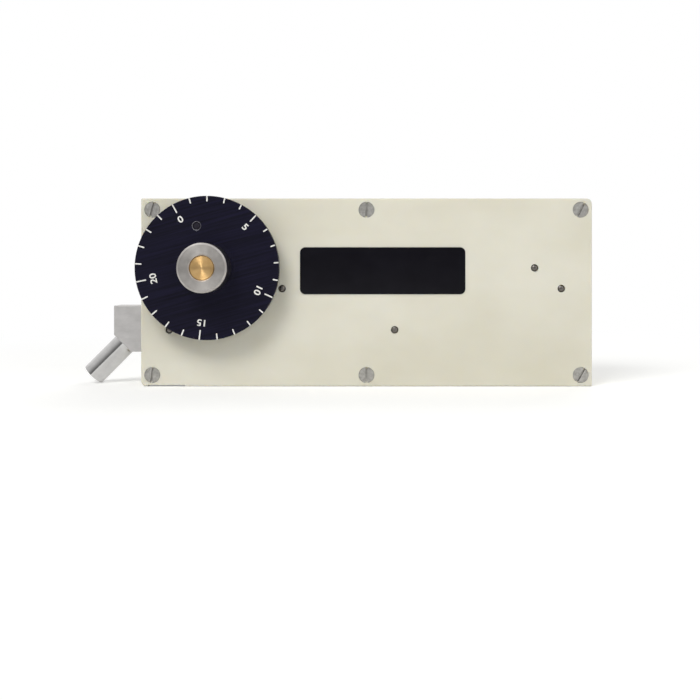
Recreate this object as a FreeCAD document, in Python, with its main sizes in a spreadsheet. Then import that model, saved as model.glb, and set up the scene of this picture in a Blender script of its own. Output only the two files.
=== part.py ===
import FreeCAD, Part
import math
import os

import Sketcher

# Hand-held scratch hardness tester, in millimetres.
# +X runs along the case away from the tool, -Y is the front face, +Z is up.
# The origin is the middle of the base that slides on the tested surface.

DIMENSIONS = {
    # Case
    "case_length": 240,
    "case_height": 100,
    "plate_thickness": 8,
    "bay_depth": 24,
    "wall_thickness": 12,
    "corner_radius": 2.8,
    "corner_break": 0.6,
    "case_edge": 0.5,
    "seam_edge": 0.3,
    "groove_depth": 1,
    "foot_relief_start": 3.5,
    "foot_relief_length": 20,
    "foot_relief_height": 0.7,
    # Countersunk case screws
    "screw_inset": 6,
    "screw_diameter": 4,
    "screw_head_diameter": 8.4,
    "screw_head_land": 0.4,
    "screw_head_edge": 0.25,
    "screw_length": 18,
    "screw_slot_width": 1.2,
    "screw_slot_depth": 1.3,
    # Clearances
    "fit_clearance": 0.02,
    "running_clearance": 0.04,
    "side_clearance": 0.3,
    # Label
    "label_length": 88,
    "label_height": 25,
    "label_corner": 2,
    "label_thickness": 0.4,
    "label_centre_from_dial": 91.6,
    "label_centre_height": 61.5,
    # Dial and hub
    "dial_from_left": 37,
    "dial_height": 63,
    "dial_diameter": 75,
    "dial_thickness": 6,
    "dial_gap": 8,
    "dial_edge": 0.4,
    "hub_diameter": 25.4,
    "hub_projection": 18,
    "hub_edge": 0.9,
    "hub_flange_diameter": 38,
    "hub_bore_edge": 0.5,
    "hub_screw_diameter": 2.5,
    "hub_screw_head": 4.5,
    "hub_screw_head_height": 1.8,
    "hub_screw_grip": 4,
    "set_screw_diameter": 4,
    "set_screw_key": 2,
    "set_screw_key_depth": 2,
    # Shaft and bushes
    "shaft_diameter": 12.7,
    "shaft_recess": 1,
    "shaft_edge": 0.4,
    "bush_wall": 2.2,
    "bush_flange_width": 3.5,
    "bush_flange_thickness": 2,
    "rear_bush_depth": 6.5,
    "washer_thickness": 1.2,
    # Dial stops
    "stop_pin_diameter": 4,
    "stop_circle_radius": 22.5,
    "dial_stop_angle": 103.6,
    "fixed_stop_angle": 59.9,
    "stop_pin_gap": 1.5,
    "stop_pin_seat": 6,
    "stop_pin_recess": 0.6,
    "stop_hole_bevel": 0.4,
    # Load cam
    "dial_travel_back": 32,
    "dial_travel_forward": 305,
    "dial_degrees_per_follower_degree": 48,
    "cam_rest_radius": 9.74,
    "cam_width": 10,
    "cam_boss_wall": 2.4,
    "cam_pin_diameter": 3,
    "cam_clearance": 0.15,
    "cam_lead_in": 8,
    "cam_run_out": 3,
    # Follower
    "follower_span": 38,
    "follower_pivot_drop": 11,
    "follower_thickness": 5,
    "follower_width": 14,
    "follower_end": 5.5,
    "follower_pin_diameter": 5,
    "follower_nose_height": 4.4,
    "follower_stud_length": 5,
    # Cross pins
    "pin_diameter": 4,
    "pin_recess": 0.15,
    "pin_edge": 0.3,
    "pin_crown": 1.5,
    "pivot_bush_wall": 2.3,
    # Tool arm
    "arm_height": 25,
    "arm_width": 18,
    "arm_axis_height": 30,
    "arm_overhang": 17,
    "arm_end_chamfer": 9.2,
    "arm_edge": 0.3,
    "arm_pivot_from_left": 135,
    "arm_stop_from_left": 15,
    "arm_swing": 0.95,
    "arm_stop_clearance": 0.05,
    "arm_window_gap": 1.25,
    "arm_relief_margin": 5,
    "arm_relief_gap": 0.6,
    "tool_diameter": 12.7,
    "tool_seat": 14,
    "tool_edge": 0.2,
    "tool_flat": 1,
    # Load spring
    "load_spring_wire": 1.2,
    "load_spring_diameter": 7.8,
    "load_spring_turns": 6,
    "load_spring_pocket": 11,
    "load_spring_pocket_depth": 11,
    "spring_end_gap": 0.1,
    # Balance spring
    "balance_pin_from_right": 30.5,
    "balance_pin_height": 63,
    "anchor_pin_from_right": 16.3,
    "anchor_pin_height": 52,
    "balance_wire": 1.2,
    "balance_coil_clearance": 0.35,
    "balance_turns": 5,
    "balance_pitch": 1.8,
    "balance_leg_run": 15,
    "balance_foot": 7,
    "balance_knee_radius": 3,
    "arm_tail_past_foot": 8,
}

doc = FreeCAD.newDocument("scratch_tester")
sheet = doc.addObject("Spreadsheet::Sheet", "dim")
for row, (alias, size) in enumerate(DIMENSIONS.items(), 1):
    sheet.set(f"A{row}", alias)
    sheet.set(f"B{row}", str(size))
    sheet.setAlias(f"B{row}", alias)
doc.recompute()

# Places worked out from the driving dimensions, as expressions
LEFT = "(-dim.case_length / 2)"
RIGHT = "(dim.case_length / 2)"
BAY_BACK = "(dim.bay_depth / 2)"
BAY_FRONT = "(-dim.bay_depth / 2)"
FRONT = f"({BAY_FRONT} - dim.plate_thickness)"
BACK = f"({BAY_BACK} + dim.plate_thickness)"
TOP = "dim.case_height"

DIAL_X = f"({LEFT} + dim.dial_from_left)"
DIAL_Z = "dim.dial_height"
DIAL_BACK = f"({FRONT} - dim.dial_gap)"
DIAL_FRONT = f"({DIAL_BACK} - dim.dial_thickness)"
HUB_FRONT = f"({DIAL_FRONT} - dim.hub_projection)"
BUSH_FRONT = f"({FRONT} - dim.bush_flange_thickness)"
WASHER_FRONT = f"({BUSH_FRONT} - dim.washer_thickness)"
FLANGE_BACK = f"({WASHER_FRONT} - dim.fit_clearance)"
SHAFT_RADIUS = "(dim.shaft_diameter / 2)"
SHAFT_BORE = f"({SHAFT_RADIUS} + dim.running_clearance)"
SHAFT_SEAT = f"({SHAFT_RADIUS} + dim.fit_clearance)"
BUSH_RADIUS = f"({SHAFT_RADIUS} + dim.bush_wall)"
COLLAR_RADIUS = "(dim.hub_diameter / 2)"
REAR_BUSH_END = f"({BAY_BACK} + dim.rear_bush_depth)"
HUB_SCREW_CIRCLE = "(dim.hub_diameter / 4 + dim.hub_flange_diameter / 4)"

FOLLOWER_X = f"({DIAL_X} + dim.follower_span)"
FOLLOWER_Z = f"({DIAL_Z} - dim.follower_pivot_drop)"
NOSE_TOP = f"({DIAL_Z} - dim.cam_rest_radius - dim.cam_clearance)"
FOLLOWER_TOP = f"({NOSE_TOP} - dim.follower_nose_height)"
FOLLOWER_BOTTOM = f"({FOLLOWER_TOP} - dim.follower_thickness)"
FOLLOWER_END = f"({DIAL_X} - dim.follower_end)"
FOLLOWER_SWING = "(dim.dial_travel_forward / dim.dial_degrees_per_follower_degree)"
FOLLOWER_DROP = f"((dim.follower_span + dim.follower_end) * sin({FOLLOWER_SWING}))"

PIVOT_BORE = "(dim.pin_diameter / 2 + dim.running_clearance)"
PIVOT_BUSH = f"({PIVOT_BORE} + dim.pivot_bush_wall)"
BUSH_HALF = "(dim.bay_depth / 2 - dim.side_clearance)"

ARM_LEFT = f"({LEFT} - dim.arm_overhang)"
ARM_TOP = "(dim.arm_axis_height + dim.arm_height / 2)"
ARM_BOTTOM = "(dim.arm_axis_height - dim.arm_height / 2)"
ARM_PIVOT_X = f"({LEFT} + dim.arm_pivot_from_left)"
ARM_STOP_X = f"({LEFT} + dim.arm_stop_from_left)"
ARM_WINDOW = f"({ARM_TOP} + ({ARM_PIVOT_X} - {LEFT}) * sin(dim.arm_swing) + dim.arm_window_gap)"
ARM_STOP_TRAVEL = f"(({ARM_PIVOT_X} - {ARM_STOP_X}) * sin(dim.arm_swing))"
ARM_STOP_HOLE = f"(dim.pin_diameter + 2 * {ARM_STOP_TRAVEL} + 2 * dim.arm_stop_clearance)"
RELIEF_LEFT = f"({FOLLOWER_END} - dim.arm_relief_margin)"
RELIEF_RIGHT = f"({FOLLOWER_X} + {FOLLOWER_Z} - {FOLLOWER_BOTTOM} + dim.arm_relief_margin)"
RELIEF_LIFT = f"(({ARM_PIVOT_X} - {RELIEF_LEFT}) * sin(dim.arm_swing))"
RELIEF_FLOOR = f"({FOLLOWER_BOTTOM} - {FOLLOWER_DROP} - {RELIEF_LIFT} - dim.arm_relief_gap)"
POCKET_FLOOR = f"({RELIEF_FLOOR} - dim.load_spring_pocket_depth)"

TOOL_X = f"({ARM_LEFT} + dim.arm_end_chamfer / 2)"
TOOL_Z = f"({ARM_BOTTOM} + dim.arm_end_chamfer / 2)"
TOOL_REACH = f"({TOOL_Z} * sqrt(2) - dim.tool_diameter / 2 + dim.tool_edge)"
TOOL_SCREW_X = f"({TOOL_X} + dim.tool_seat / 2 / sqrt(2))"
TOOL_SCREW_Z = f"({TOOL_Z} + dim.tool_seat / 2 / sqrt(2))"

BALANCE_X = f"({RIGHT} - dim.balance_pin_from_right)"
ANCHOR_X = f"({RIGHT} - dim.anchor_pin_from_right)"
BALANCE_COIL = "(dim.pin_diameter / 2 + dim.balance_coil_clearance + dim.balance_wire / 2)"
BALANCE_HALF = "((dim.balance_turns + 1) * dim.balance_pitch / 2 + dim.balance_wire / 2)"
FOOT_X = f"({BALANCE_X} - dim.balance_leg_run)"
ARM_TAIL = f"({FOOT_X} + dim.arm_tail_past_foot)"

# Turns about Y that set the slots of the case screws, the hub screws and the corners of a hex key
FRONT_SLOTS = (75, 88, 62, 82, 90, 60)
REAR_SLOTS = (20, 105, 50, 140, 70, 12)
HUB_SCREW_TURNS = (30, 150, 270)
HEX_TURNS = (15, 75, 135, 195, 255, 315)

Y_TO_Z = FreeCAD.Rotation(FreeCAD.Vector(1, 0, 0), 90)
CAM_STEPS = 36
SMALL_TURN = 0.01
SAME_POINT = 1e-6
nodes = []


def value(expression):
    """Number that an expression has for the sizes now in the sheet."""
    return float(sheet.evalExpression(expression))


def keep(thing, label):
    """Mark a finished object as the node of this name."""
    thing.Label = label
    nodes.append(thing)
    return thing


def place(thing, x="0", y="0", z="0", rotation=None):
    """Put an object at a point given as expressions, turned by a fixed rotation."""
    thing.Placement = FreeCAD.Placement(FreeCAD.Vector(), rotation or FreeCAD.Rotation())
    for axis, expression in (("x", x), ("y", y), ("z", z)):
        thing.setExpression(f"Placement.Base.{axis}", expression)
    return thing


def new_sketch(body, plane, offset):
    """Sketch on an origin plane of its body, moved along the plane's normal."""
    sketch = body.newObject("Sketcher::SketchObject", body.Name + "_sketch")
    support = [item for item in body.Origin.OriginFeatures if item.Role == plane][0]
    sketch.AttachmentSupport = [(support, "")]
    sketch.MapMode = "FlatFace"
    sketch.setExpression("AttachmentOffset.Base.z", offset)
    return sketch


def tie(sketch, kind, expression, *points):
    """Add a dimension that follows an expression, or a point on an axis where it is zero."""
    if expression == "0":
        axis = {"DistanceX": -2, "DistanceY": -1}[kind]
        sketch.addConstraint(Sketcher.Constraint("PointOnObject", points[0], points[1], axis))
        return
    origin = (-1, 1) if kind.startswith("Distance") else ()
    index = sketch.addConstraint(Sketcher.Constraint(kind, *origin, *points, value(expression)))
    sketch.setExpression(f"Constraints[{index}]", expression)


def draw_outline(sketch, corners):
    """Closed outline of straight lines whose corners follow expressions."""
    points = [FreeCAD.Vector(value(across), value(up), 0) for across, up in corners]
    count = len(points)
    first = sketch.GeometryCount
    for index, point in enumerate(points):
        sketch.addGeometry(Part.LineSegment(point, points[(index + 1) % count]))
    for index in range(count):
        follower = first + (index + 1) % count
        sketch.addConstraint(Sketcher.Constraint("Coincident", first + index, 2, follower, 1))
    for index, (across, up) in enumerate(corners):
        tie(sketch, "DistanceX", across, first + index, 1)
        tie(sketch, "DistanceY", up, first + index, 1)


def draw_circles(sketch, circles):
    """Circles given by centre and diameter, all as expressions."""
    for across, up, diameter in circles:
        centre = FreeCAD.Vector(value(across), value(up), 0)
        circle = Part.Circle(centre, FreeCAD.Vector(0, 0, 1), value(diameter) / 2)
        index = sketch.addGeometry(circle)
        tie(sketch, "DistanceX", across, index, 3)
        tie(sketch, "DistanceY", up, index, 3)
        tie(sketch, "Diameter", diameter, index)


def slab(name, corners, front, back):
    """Body of a flat outline in X and Z that fills the depth from front to back."""
    body = doc.addObject("PartDesign::Body", name)
    sketch = new_sketch(body, "XZ_Plane", f"-({back})")
    draw_outline(sketch, corners)
    pad = body.newObject("PartDesign::Pad", name + "_pad")
    pad.Profile = sketch
    pad.setExpression("Length", f"{back} - ({front})")
    doc.recompute()
    return body


def box_corners(left, right, bottom, top):
    """Corners of an upright rectangle."""
    return [(left, bottom), (right, bottom), (right, top), (left, top)]


def turned(name, profile):
    """Body turned about the Y axis from its (radius, station) profile."""
    body = doc.addObject("PartDesign::Body", name)
    sketch = new_sketch(body, "XY_Plane", "0")
    draw_outline(sketch, profile)
    spin = body.newObject("PartDesign::Revolution", name + "_spin")
    spin.Profile = sketch
    spin.ReferenceAxis = (sketch, ["V_Axis"])
    spin.Angle = 360
    doc.recompute()
    return body


def pin_profile(radius, front, back, edge):
    """Solid pin with a small chamfer on both ends."""
    return [
        ("0", front),
        (f"{radius} - {edge}", front),
        (radius, f"{front} + {edge}"),
        (radius, f"{back} - {edge}"),
        (f"{radius} - {edge}", back),
        ("0", back),
    ]


def ring_profile(inner, outer, front, back):
    """Plain ring or tube."""
    return [(inner, front), (outer, front), (outer, back), (inner, back)]


def cut_pocket(body, sketch, depth):
    """Cut a sketch's outline into its body, against the sketch's normal."""
    before = body.Shape.Volume
    pocket = body.newObject("PartDesign::Pocket", body.Name + "_pocket")
    pocket.Profile = sketch
    pocket.setExpression("Length", depth)
    doc.recompute()
    if not pocket.Shape.Volume < before:
        raise RuntimeError(f"a pocket of {body.Name} cuts nothing")
    return pocket


def drill(body, circles, front, back):
    """Round holes along Y between two stations."""
    sketch = new_sketch(body, "XZ_Plane", f"-({front})")
    draw_circles(sketch, circles)
    return cut_pocket(body, sketch, f"{back} - ({front})")


def mill(body, corners, front, back):
    """Straight-sided cut along Y between two stations."""
    sketch = new_sketch(body, "XZ_Plane", f"-({front})")
    draw_outline(sketch, corners)
    return cut_pocket(body, sketch, f"{back} - ({front})")


def countersink(body, spots, outer, inner, land_side):
    """Screw holes with a conical seat; land_side is -1 for a front face and 1 for a rear face."""
    drill(body, [(x, z, "dim.screw_diameter + 2 * dim.fit_clearance") for x, z in spots], outer, inner)
    seat = "(dim.screw_head_diameter / 2 - dim.screw_diameter / 2)"
    for x, z in spots:
        face = outer if land_side < 0 else inner
        sketch = new_sketch(body, "XY_Plane", z)
        rim = f"{x} + dim.screw_head_diameter / 2 + dim.fit_clearance"
        throat = f"{x} + dim.screw_diameter / 2 + dim.fit_clearance"
        land = f"{face} - ({land_side}) * dim.screw_head_land"
        deep = f"{face} - ({land_side}) * (dim.screw_head_land + {seat})"
        corners = [(x, face), (rim, face), (rim, land), (throat, deep), (x, deep)]
        draw_outline(sketch, corners)
        groove = body.newObject("PartDesign::Groove", body.Name + "_seat")
        groove.Profile = sketch
        groove.ReferenceAxis = (sketch, ["Edge5"])
        groove.Angle = 360
        doc.recompute()


def round_corners(body, radius, corners):
    """Round the edges that run along Y through the given corner points of an outline."""
    base = body.Tip
    spots = [(value(across), value(up)) for across, up in corners]
    edges = []
    for index, edge in enumerate(base.Shape.Edges, 1):
        ends = [vertex.Point for vertex in edge.Vertexes]
        if len(ends) < 2 or math.hypot(ends[0].x - ends[1].x, ends[0].z - ends[1].z) > SAME_POINT:
            continue
        if any(math.hypot(ends[0].x - x, ends[0].z - z) < SAME_POINT for x, z in spots):
            edges.append(f"Edge{index}")
    fillet = body.newObject("PartDesign::Fillet", body.Name + "_corners")
    fillet.Base = (base, edges)
    fillet.setExpression("Radius", radius)
    doc.recompute()


def break_edges(body, size, station):
    """Chamfer every edge of a body that lies in the plane of a station along Y."""
    base = body.Tip
    depth = value(station)
    edges = []
    for index, edge in enumerate(base.Shape.Edges, 1):
        if all(abs(vertex.Y - depth) < SAME_POINT for vertex in edge.Vertexes):
            edges.append(f"Edge{index}")
    chamfer = body.newObject("PartDesign::Chamfer", body.Name + "_edges")
    chamfer.Base = (base, edges)
    chamfer.setExpression("Size", size)
    doc.recompute()


def dress_rim(body, kind, size, x, y, z):
    """Fillet or Chamfer on the circular edge of a body that is centred on a point."""
    base = body.Tip
    centre = FreeCAD.Vector(value(x), value(y), value(z))
    rims = []
    for index, edge in enumerate(base.Shape.Edges, 1):
        if isinstance(edge.Curve, Part.Circle) and edge.Curve.Center.isEqual(centre, SAME_POINT):
            rims.append(f"Edge{index}")
    feature = body.newObject(f"PartDesign::{kind}", body.Name + "_rim")
    feature.Base = (base, rims)
    feature.setExpression("Radius" if kind == "Fillet" else "Size", size)
    doc.recompute()


def group(label, members):
    """Several separate solids kept as one node."""
    bundle = doc.addObject("Part::Compound", label)
    bundle.Links = members
    return keep(bundle, label)


# Case plates, rails and end walls
FOOT_LEFT = f"({LEFT} + dim.foot_relief_start)"
FOOT_RIGHT = f"({FOOT_LEFT} + dim.foot_relief_length)"
RAIL = "dim.wall_thickness"
CEILING = f"({TOP} - dim.wall_thickness)"
WALL_LEFT = f"({LEFT} + dim.wall_thickness)"
WALL_RIGHT = f"({RIGHT} - dim.wall_thickness)"
RAIL_BORE_DEPTH = "(dim.screw_length - dim.plate_thickness + 2 * dim.fit_clearance)"
CASE_CORNERS = box_corners(LEFT, RIGHT, "0", TOP)
# Bottom left and top right are round, the other two nearly square
ROUND_CORNERS, SQUARE_CORNERS = CASE_CORNERS[::2], CASE_CORNERS[1::2]
FOOT_RELIEF = box_corners(FOOT_LEFT, FOOT_RIGHT, "-dim.foot_relief_height", "dim.foot_relief_height")
SCREW_SPOTS = [
    (x, z)
    for z in (f"({TOP} - dim.screw_inset)", "dim.screw_inset")
    for x in (f"({LEFT} + dim.screw_inset)", "0", f"({RIGHT} - dim.screw_inset)")
]
CROSS_PINS = {
    "follower_pivot_pin": (FOLLOWER_X, FOLLOWER_Z),
    "arm_stop_pin": (ARM_STOP_X, "dim.arm_axis_height"),
    "arm_pivot_pin": (ARM_PIVOT_X, "dim.arm_axis_height"),
    "balance_spring_pin": (BALANCE_X, "dim.balance_pin_height"),
    "balance_anchor_pin": (ANCHOR_X, "dim.anchor_pin_height"),
}
FIXED_STOP_X = f"({DIAL_X} + dim.stop_circle_radius * cos(dim.fixed_stop_angle))"
FIXED_STOP_Z = f"({DIAL_Z} + dim.stop_circle_radius * sin(dim.fixed_stop_angle))"


def case_plate(name, front, back, land_side):
    """Front or rear plate with screw seats, pin holes and grooves for the end walls."""
    body = slab(name, CASE_CORNERS, front, back)
    round_corners(body, "dim.corner_radius", ROUND_CORNERS)
    round_corners(body, "dim.corner_break", SQUARE_CORNERS)
    face, seam = (front, back) if land_side < 0 else (back, front)
    break_edges(body, "dim.case_edge", face)
    break_edges(body, "dim.seam_edge", seam)
    mill(body, FOOT_RELIEF, front, back)
    countersink(body, SCREW_SPOTS, front, back, land_side)
    pin_hole = "dim.pin_diameter + 2 * dim.fit_clearance"
    drill(body, [(x, z, pin_hole) for x, z in CROSS_PINS.values()], front, back)
    for corners in wall_corners("dim.fit_clearance"):
        if land_side < 0:
            mill(body, corners, f"{back} - dim.groove_depth", back)
        else:
            mill(body, corners, front, f"{front} + dim.groove_depth")
    return keep(body, name)


def case_rail(name, bottom, top, spots):
    """Rail between the plates, bored from both sides for the case screws."""
    body = slab(name, box_corners(LEFT, RIGHT, bottom, top), BAY_FRONT, BAY_BACK)
    round_corners(body, "dim.corner_radius", ROUND_CORNERS)
    round_corners(body, "dim.corner_break", SQUARE_CORNERS)
    bores = [(x, z, "dim.screw_diameter + 2 * dim.fit_clearance") for x, z in spots]
    drill(body, bores, BAY_FRONT, f"{BAY_FRONT} + {RAIL_BORE_DEPTH}")
    drill(body, bores, f"{BAY_BACK} - {RAIL_BORE_DEPTH}", BAY_BACK)
    return keep(body, name)


def wall_corners(clearance):
    """Outlines of the left and right end walls, grown by a clearance."""
    floor = f"{RAIL} + dim.fit_clearance - {clearance}"
    window = f"{ARM_WINDOW} - {clearance}"
    ceiling = f"{CEILING} - dim.fit_clearance + {clearance}"
    return [
        box_corners(f"{LEFT} + dim.groove_depth", f"{WALL_LEFT} + {clearance}", window, ceiling),
        box_corners(f"{WALL_RIGHT} - {clearance}", f"{RIGHT} - dim.groove_depth", floor, ceiling),
    ]


front_plate = case_plate("front_plate", FRONT, BAY_FRONT, -1)
drill(front_plate, [(DIAL_X, DIAL_Z, f"2 * {BUSH_RADIUS} + 2 * dim.fit_clearance")], FRONT, BAY_FRONT)
stop_hole = "dim.stop_pin_diameter + 2 * dim.fit_clearance"
drill(front_plate, [(FIXED_STOP_X, FIXED_STOP_Z, stop_hole)], FRONT, f"{FRONT} + dim.stop_pin_seat")

rear_plate = case_plate("rear_plate", BAY_BACK, BACK, 1)
rear_hole = (DIAL_X, DIAL_Z, f"2 * {BUSH_RADIUS} + 2 * dim.fit_clearance")
drill(rear_plate, [rear_hole], BAY_BACK, REAR_BUSH_END)

case_rail("top_rail", CEILING, TOP, SCREW_SPOTS[:3])
bottom_rail = case_rail("bottom_rail", "0", RAIL, SCREW_SPOTS[3:])
mill(bottom_rail, FOOT_RELIEF, BAY_FRONT, BAY_BACK)

TONGUE = "(dim.groove_depth - dim.fit_clearance)"
for wall_name, corners in zip(("left_wall", "right_wall"), wall_corners("0")):
    keep(slab(wall_name, corners, f"{BAY_FRONT} - {TONGUE}", f"{BAY_BACK} + {TONGUE}"), wall_name)


# Slotted countersunk case screws
def case_screw(name, spot, face, angle, facing):
    """Slotted countersunk screw; facing is 1 for the front face and -1 for the rear face."""
    cone = "(dim.screw_head_land + dim.screw_head_diameter / 2 - dim.screw_diameter / 2)"
    profile = [
        ("0", "0"),
        ("dim.screw_head_diameter / 2 - dim.screw_head_edge", "0"),
        ("dim.screw_head_diameter / 2", "dim.screw_head_edge"),
        ("dim.screw_head_diameter / 2", "dim.screw_head_land"),
        ("dim.screw_diameter / 2", cone),
        ("dim.screw_diameter / 2", "dim.screw_length"),
        ("0", "dim.screw_length"),
    ]
    body = turned(name, profile)
    half = "dim.screw_slot_width / 2"
    end = "dim.screw_head_diameter"
    mill(body, box_corners(f"-{end}", end, f"-{half}", half), "0", "dim.screw_slot_depth")
    turn = FreeCAD.Rotation(FreeCAD.Vector(0, -1, 0), angle)
    flip = FreeCAD.Rotation(FreeCAD.Vector(0, 0, 1), 0 if facing > 0 else 180)
    return place(body, spot[0], face, spot[1], turn.multiply(flip))


front_screws = [
    case_screw(f"front_screw_{index}", spot, FRONT, angle, 1)
    for index, (spot, angle) in enumerate(zip(SCREW_SPOTS, FRONT_SLOTS))
]
group("front_screws", front_screws)
rear_screws = [
    case_screw(f"rear_screw_{index}", spot, BACK, angle, -1)
    for index, (spot, angle) in enumerate(zip(SCREW_SPOTS, REAR_SLOTS))
]
group("rear_screws", rear_screws)

# Bare label
LABEL_X = f"({DIAL_X} + dim.label_centre_from_dial)"
label_corners = box_corners(
    f"{LABEL_X} - dim.label_length / 2",
    f"{LABEL_X} + dim.label_length / 2",
    "dim.label_centre_height - dim.label_height / 2",
    "dim.label_centre_height + dim.label_height / 2",
)
label = slab("label", label_corners, f"{FRONT} - dim.label_thickness", FRONT)
round_corners(label, "dim.label_corner", label_corners)
keep(label, "label")

# Dowel pins through both plates, crowned at the front and bevelled at the rear
PIN_FRONT = f"({FRONT} + dim.pin_recess)"
PIN_BACK = f"({BACK} - dim.pin_recess)"
dowel_profile = [
    ("0", PIN_FRONT),
    ("dim.pin_diameter / 2", PIN_FRONT),
    ("dim.pin_diameter / 2", f"{PIN_BACK} - dim.pin_edge"),
    ("dim.pin_diameter / 2 - dim.pin_edge", PIN_BACK),
    ("0", PIN_BACK),
]
for pin_name, (pin_x, pin_z) in CROSS_PINS.items():
    pin = turned(pin_name, dowel_profile)
    dress_rim(pin, "Fillet", "dim.pin_crown", "0", PIN_FRONT, "0")
    keep(place(pin, pin_x, "0", pin_z), pin_name)

# Dial shaft with its bushes and friction washer
front_bush_profile = [
    (SHAFT_BORE, BUSH_FRONT),
    (f"{BUSH_RADIUS} + dim.bush_flange_width", BUSH_FRONT),
    (f"{BUSH_RADIUS} + dim.bush_flange_width", FRONT),
    (BUSH_RADIUS, FRONT),
    (BUSH_RADIUS, BAY_FRONT),
    (SHAFT_BORE, BAY_FRONT),
]
keep(place(turned("front_bush", front_bush_profile), DIAL_X, "0", DIAL_Z), "front_bush")
rear_bush_profile = ring_profile(SHAFT_BORE, BUSH_RADIUS, BAY_BACK, REAR_BUSH_END)
keep(place(turned("rear_bush", rear_bush_profile), DIAL_X, "0", DIAL_Z), "rear_bush")
washer_outer = f"{BUSH_RADIUS} + dim.bush_flange_width"
washer_inner = f"{SHAFT_RADIUS} + dim.side_clearance"
washer_profile = ring_profile(washer_inner, washer_outer, WASHER_FRONT, BUSH_FRONT)
keep(place(turned("friction_washer", washer_profile), DIAL_X, "0", DIAL_Z), "friction_washer")
SHAFT_FRONT = f"({HUB_FRONT} + dim.shaft_recess)"
SHAFT_BACK = f"({REAR_BUSH_END} - dim.side_clearance)"
shaft = turned("dial_shaft", pin_profile(SHAFT_RADIUS, SHAFT_FRONT, SHAFT_BACK, "dim.shaft_edge"))
CAM_PIN_Y = f"({BUSH_HALF} / 2 + dim.cam_width / 4)"
drill_plane = new_sketch(shaft, "XY_Plane", SHAFT_RADIUS)
draw_circles(drill_plane, [("0", CAM_PIN_Y, "dim.cam_pin_diameter + 2 * dim.fit_clearance")])
cut_pocket(shaft, drill_plane, "dim.shaft_diameter")
keep(place(shaft, DIAL_X, "0", DIAL_Z), "dial_shaft")

# Hub with its flange behind the dial
hub_profile = [
    (SHAFT_SEAT, f"{HUB_FRONT} + dim.hub_bore_edge"),
    (f"{SHAFT_SEAT} + dim.hub_bore_edge", HUB_FRONT),
    (f"{COLLAR_RADIUS} - dim.hub_edge", HUB_FRONT),
    (COLLAR_RADIUS, f"{HUB_FRONT} + dim.hub_edge"),
    (COLLAR_RADIUS, DIAL_BACK),
    ("dim.hub_flange_diameter / 2", DIAL_BACK),
    ("dim.hub_flange_diameter / 2", FLANGE_BACK),
    (SHAFT_SEAT, FLANGE_BACK),
]
hub = turned("dial_hub", hub_profile)
hub_spots = [
    (f"{HUB_SCREW_CIRCLE} * cos({turn})", f"{HUB_SCREW_CIRCLE} * sin({turn})")
    for turn in HUB_SCREW_TURNS
]
hub_hole = "dim.hub_screw_diameter + 2 * dim.fit_clearance"
head_hole = "dim.hub_screw_head + 2 * dim.fit_clearance"
HEAD_SEAT = f"({FLANGE_BACK} - dim.hub_screw_head_height - dim.fit_clearance)"
drill(hub, [(x, z, hub_hole) for x, z in hub_spots], DIAL_BACK, FLANGE_BACK)
drill(hub, [(x, z, head_hole) for x, z in hub_spots], HEAD_SEAT, FLANGE_BACK)
SET_SCREW_Y = f"({DIAL_FRONT} - dim.hub_projection / 2)"
set_sketch = new_sketch(hub, "YZ_Plane", "0")
draw_circles(set_sketch, [(SET_SCREW_Y, "0", "dim.set_screw_diameter + 2 * dim.fit_clearance")])
cut_pocket(hub, set_sketch, "dim.hub_diameter")
keep(place(hub, DIAL_X, "0", DIAL_Z), "dial_hub")


def set_screw(name, length):
    """Socket set screw standing along Y from 0, with its key socket at the start."""
    body = turned(name, pin_profile("dim.set_screw_diameter / 2", "0", length, "dim.pin_edge"))
    key = "dim.set_screw_key / sqrt(3)"
    corners = [(f"{key} * cos({turn})", f"{key} * sin({turn})") for turn in HEX_TURNS]
    mill(body, corners, "0", "dim.set_screw_key_depth")
    return body


hub_screw_length = f"{COLLAR_RADIUS} - {SHAFT_RADIUS} - dim.side_clearance - dim.fit_clearance"
hub_set_screw = set_screw("hub_set_screw", hub_screw_length)
hub_screw_x = f"{DIAL_X} - {COLLAR_RADIUS} + dim.side_clearance"
turn_in = FreeCAD.Rotation(FreeCAD.Vector(0, 0, 1), -90)
keep(place(hub_set_screw, hub_screw_x, SET_SCREW_Y, DIAL_Z, turn_in), "hub_set_screw")

# Screws that hold the dial to the hub flange
hub_screw_bodies = []
for index, (screw_x, screw_z) in enumerate(hub_spots):
    reach = f"({FLANGE_BACK} - {DIAL_BACK} + dim.hub_screw_grip)"
    profile = [
        ("0", f"-{reach}"),
        ("dim.hub_screw_diameter / 2", f"-{reach}"),
        ("dim.hub_screw_diameter / 2", "-dim.hub_screw_head_height"),
        ("dim.hub_screw_head / 2", "-dim.hub_screw_head_height"),
        ("dim.hub_screw_head / 2", "0"),
        ("0", "0"),
    ]
    screw = turned(f"hub_screw_{index}", profile)
    place(screw, f"{DIAL_X} + {screw_x}", FLANGE_BACK, f"{DIAL_Z} + {screw_z}")
    hub_screw_bodies.append(screw)
group("hub_screws", hub_screw_bodies)

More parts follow.
